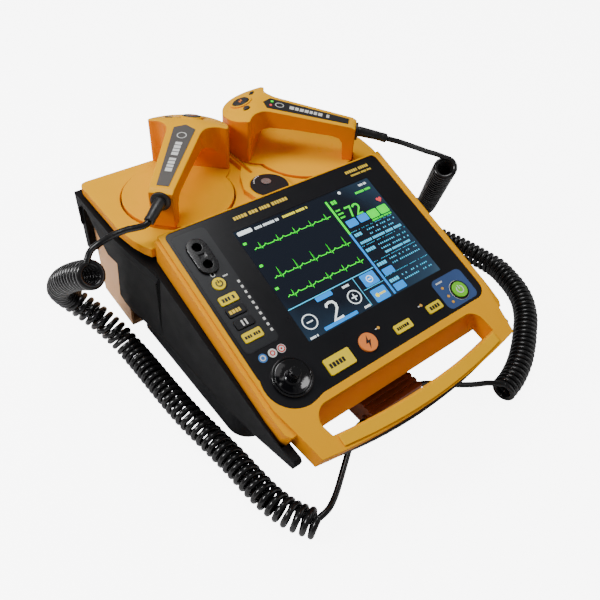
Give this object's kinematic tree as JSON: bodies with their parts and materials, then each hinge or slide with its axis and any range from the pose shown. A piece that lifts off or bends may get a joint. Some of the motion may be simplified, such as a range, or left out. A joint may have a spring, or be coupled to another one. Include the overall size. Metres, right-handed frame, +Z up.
{
  "type": "defibrillator",
  "caption": "Portable monitor defibrillator with a sloped control panel, front carrying grip and a pair of corded hand paddles docked in a top tray.",
  "frame": {"origin": "centre of the footprint on the surface that the object stands on, measured without the cords", "axes": "+X to the right of the user, -Y towards the user, +Z up"},
  "size_m": [0.5249, 0.3969, 0.2244],
  "materials": {
    "frame_yellow": "satin moulded plastic",
    "tray_yellow": "satin moulded plastic",
    "grip_yellow": "satin moulded plastic",
    "paddle_yellow": "polished moulded plastic",
    "bumper_black": "fine textured plastic",
    "casing_dark": "fine textured plastic",
    "casing_tan": "fine textured plastic",
    "panel_black": "satin membrane",
    "plate_grey": "membrane",
    "screen_glass": "clear",
    "module_grey": "plain",
    "knob_black": "glossy",
    "key_yellow": "membrane key",
    "key_black": "membrane key",
    "key_orange": "domed key",
    "key_green": "domed key",
    "led_amber": "clear resin",
    "badge_blue": "printed",
    "badge_grey": "plain",
    "label_grey": "printed",
    "rubber_black": "matt",
    "cord_black": "glossy",
    "plug_orange": "ribbed",
    "bare_steel": "brushed",
    "board_green": "circuit board",
    "battery_dark": "plain",
    "capacitor_metal": "plain"
  },
  "bodies": {
    "root": {"lower_casing": "casing_dark", "rear_casing": "casing_tan", "upper_chassis": "bumper_black", "top_tray": "tray_yellow", "side_bumper_left": "bumper_black", "side_bumper_right": "bumper_black", "well_cups": "tray_yellow", "front_frame": "frame_yellow", "grip_cover": "grip_yellow", "front_bumper_strip": "rubber_black", "panel_overlay": "panel_black", "pacer_plate": "plate_grey", "display_module": "module_grey", "display_glass": "screen_glass", "pacer_socket": "knob_black", "knob_bezel": "knob_black", "indicator_leds": "led_amber", "power_badge": "badge_blue", "tray_badge": "badge_grey", "rubber_feet": "rubber_black", "casing_screws": "bare_steel", "connector_socket": "casing_dark", "battery_pack": "battery_dark", "control_board": "board_green", "hv_capacitor": "capacitor_metal", "hv_module": "module_grey", "mains_inlet": "casing_dark", "speaker": "casing_dark", "left_coil": "cord_black", "left_tail": "cord_black", "right_coil": "cord_black", "right_tail": "cord_black"},
    "pacer_power_key": {"pacer_power_button": "key_yellow"},
    "pacer_mode_key": {"pacer_mode_button": "key_yellow"},
    "pacer_pulse_key": {"pacer_pulse_button": "key_black"},
    "pacer_pause_key": {"pacer_pause_button": "key_black"},
    "pacer_emergency_key": {"pacer_emergency_button": "key_yellow"},
    "charge_key": {"charge_button": "key_yellow"},
    "shock_key": {"shock_button": "key_orange"},
    "cancel_key": {"cancel_button": "key_yellow"},
    "sync_key": {"sync_button": "key_yellow"},
    "main_power_key": {"main_power_button": "key_green"},
    "knob": {"rotary_knob": "knob_black"},
    "left_paddle": {"left_paddle_shell": "paddle_yellow", "left_paddle_base": "paddle_yellow", "left_electrode": "bare_steel", "left_label": "label_grey", "left_strain_relief": "cord_black", "left_lead": "cord_black"},
    "left_discharge_key": {"left_discharge_button": "key_black"},
    "right_paddle": {"right_paddle_shell": "paddle_yellow", "right_paddle_base": "paddle_yellow", "right_electrode": "bare_steel", "right_label": "label_grey", "right_strain_relief": "cord_black", "right_lead": "cord_black"},
    "right_discharge_key": {"right_discharge_button": "key_black"},
    "right_charge_key": {"right_charge_button": "key_black"},
    "plug": {"paddle_connector": "plug_orange"},
    "door": {"battery_door": "casing_tan"}
  },
  "joints": [
    {"name": "pacer_power_key_press", "type": "slide", "parent": "root", "child": "pacer_power_key", "axis": [0, 0.342, -0.9397], "range_m": [0, 0.001], "stiffness_N_per_m": 500},
    {"name": "pacer_mode_key_press", "type": "slide", "parent": "root", "child": "pacer_mode_key", "axis": [0, 0.342, -0.9397], "range_m": [0, 0.001], "stiffness_N_per_m": 500},
    {"name": "pacer_pulse_key_press", "type": "slide", "parent": "root", "child": "pacer_pulse_key", "axis": [0, 0.342, -0.9397], "range_m": [0, 0.001], "stiffness_N_per_m": 500},
    {"name": "pacer_pause_key_press", "type": "slide", "parent": "root", "child": "pacer_pause_key", "axis": [0, 0.342, -0.9397], "range_m": [0, 0.001], "stiffness_N_per_m": 500},
    {"name": "pacer_emergency_key_press", "type": "slide", "parent": "root", "child": "pacer_emergency_key", "axis": [0, 0.342, -0.9397], "range_m": [0, 0.001], "stiffness_N_per_m": 500},
    {"name": "charge_key_press", "type": "slide", "parent": "root", "child": "charge_key", "axis": [0, 0.342, -0.9397], "range_m": [0, 0.001], "stiffness_N_per_m": 500},
    {"name": "shock_key_press", "type": "slide", "parent": "root", "child": "shock_key", "axis": [0, 0.342, -0.9397], "range_m": [0, 0.001], "stiffness_N_per_m": 500},
    {"name": "cancel_key_press", "type": "slide", "parent": "root", "child": "cancel_key", "axis": [0, 0.342, -0.9397], "range_m": [0, 0.001], "stiffness_N_per_m": 500},
    {"name": "sync_key_press", "type": "slide", "parent": "root", "child": "sync_key", "axis": [0, 0.342, -0.9397], "range_m": [0, 0.001], "stiffness_N_per_m": 500},
    {"name": "main_power_key_press", "type": "slide", "parent": "root", "child": "main_power_key", "axis": [0, 0.342, -0.9397], "range_m": [0, 0.001], "stiffness_N_per_m": 500},
    {"name": "knob_turn", "type": "hinge", "parent": "root", "child": "knob", "pos_m": [-0.1042, -0.11385, 0.12448], "axis": [0, -0.342, 0.9397], "continuous": true},
    {"name": "left_paddle_lift", "type": "slide", "parent": "root", "child": "left_paddle", "axis": [0, 0, 1], "range_m": [0, 0.03]},
    {"name": "left_discharge_press", "type": "slide", "parent": "left_paddle", "child": "left_discharge_key", "axis": [-0.2376, -0.246, -0.9397], "range_m": [0, 0.0022], "stiffness_N_per_m": 500},
    {"name": "right_paddle_lift", "type": "slide", "parent": "root", "child": "right_paddle", "axis": [0, 0, 1], "range_m": [0, 0.03]},
    {"name": "right_discharge_press", "type": "slide", "parent": "right_paddle", "child": "right_discharge_key", "axis": [0.2376, -0.246, -0.9397], "range_m": [0, 0.0022], "stiffness_N_per_m": 500},
    {"name": "right_charge_press", "type": "slide", "parent": "right_paddle", "child": "right_charge_key", "axis": [0.2376, -0.246, -0.9397], "range_m": [0, 0.001], "stiffness_N_per_m": 500},
    {"name": "plug_pull", "type": "slide", "parent": "root", "child": "plug", "axis": [0, -1, 0], "range_m": [0, 0.018]},
    {"name": "battery_door_swing", "type": "hinge", "parent": "root", "child": "door", "pos_m": [-0.0896, 0.186, 0.078], "axis": [0, 0, 1], "range_deg": [0, 110]}
  ]
}
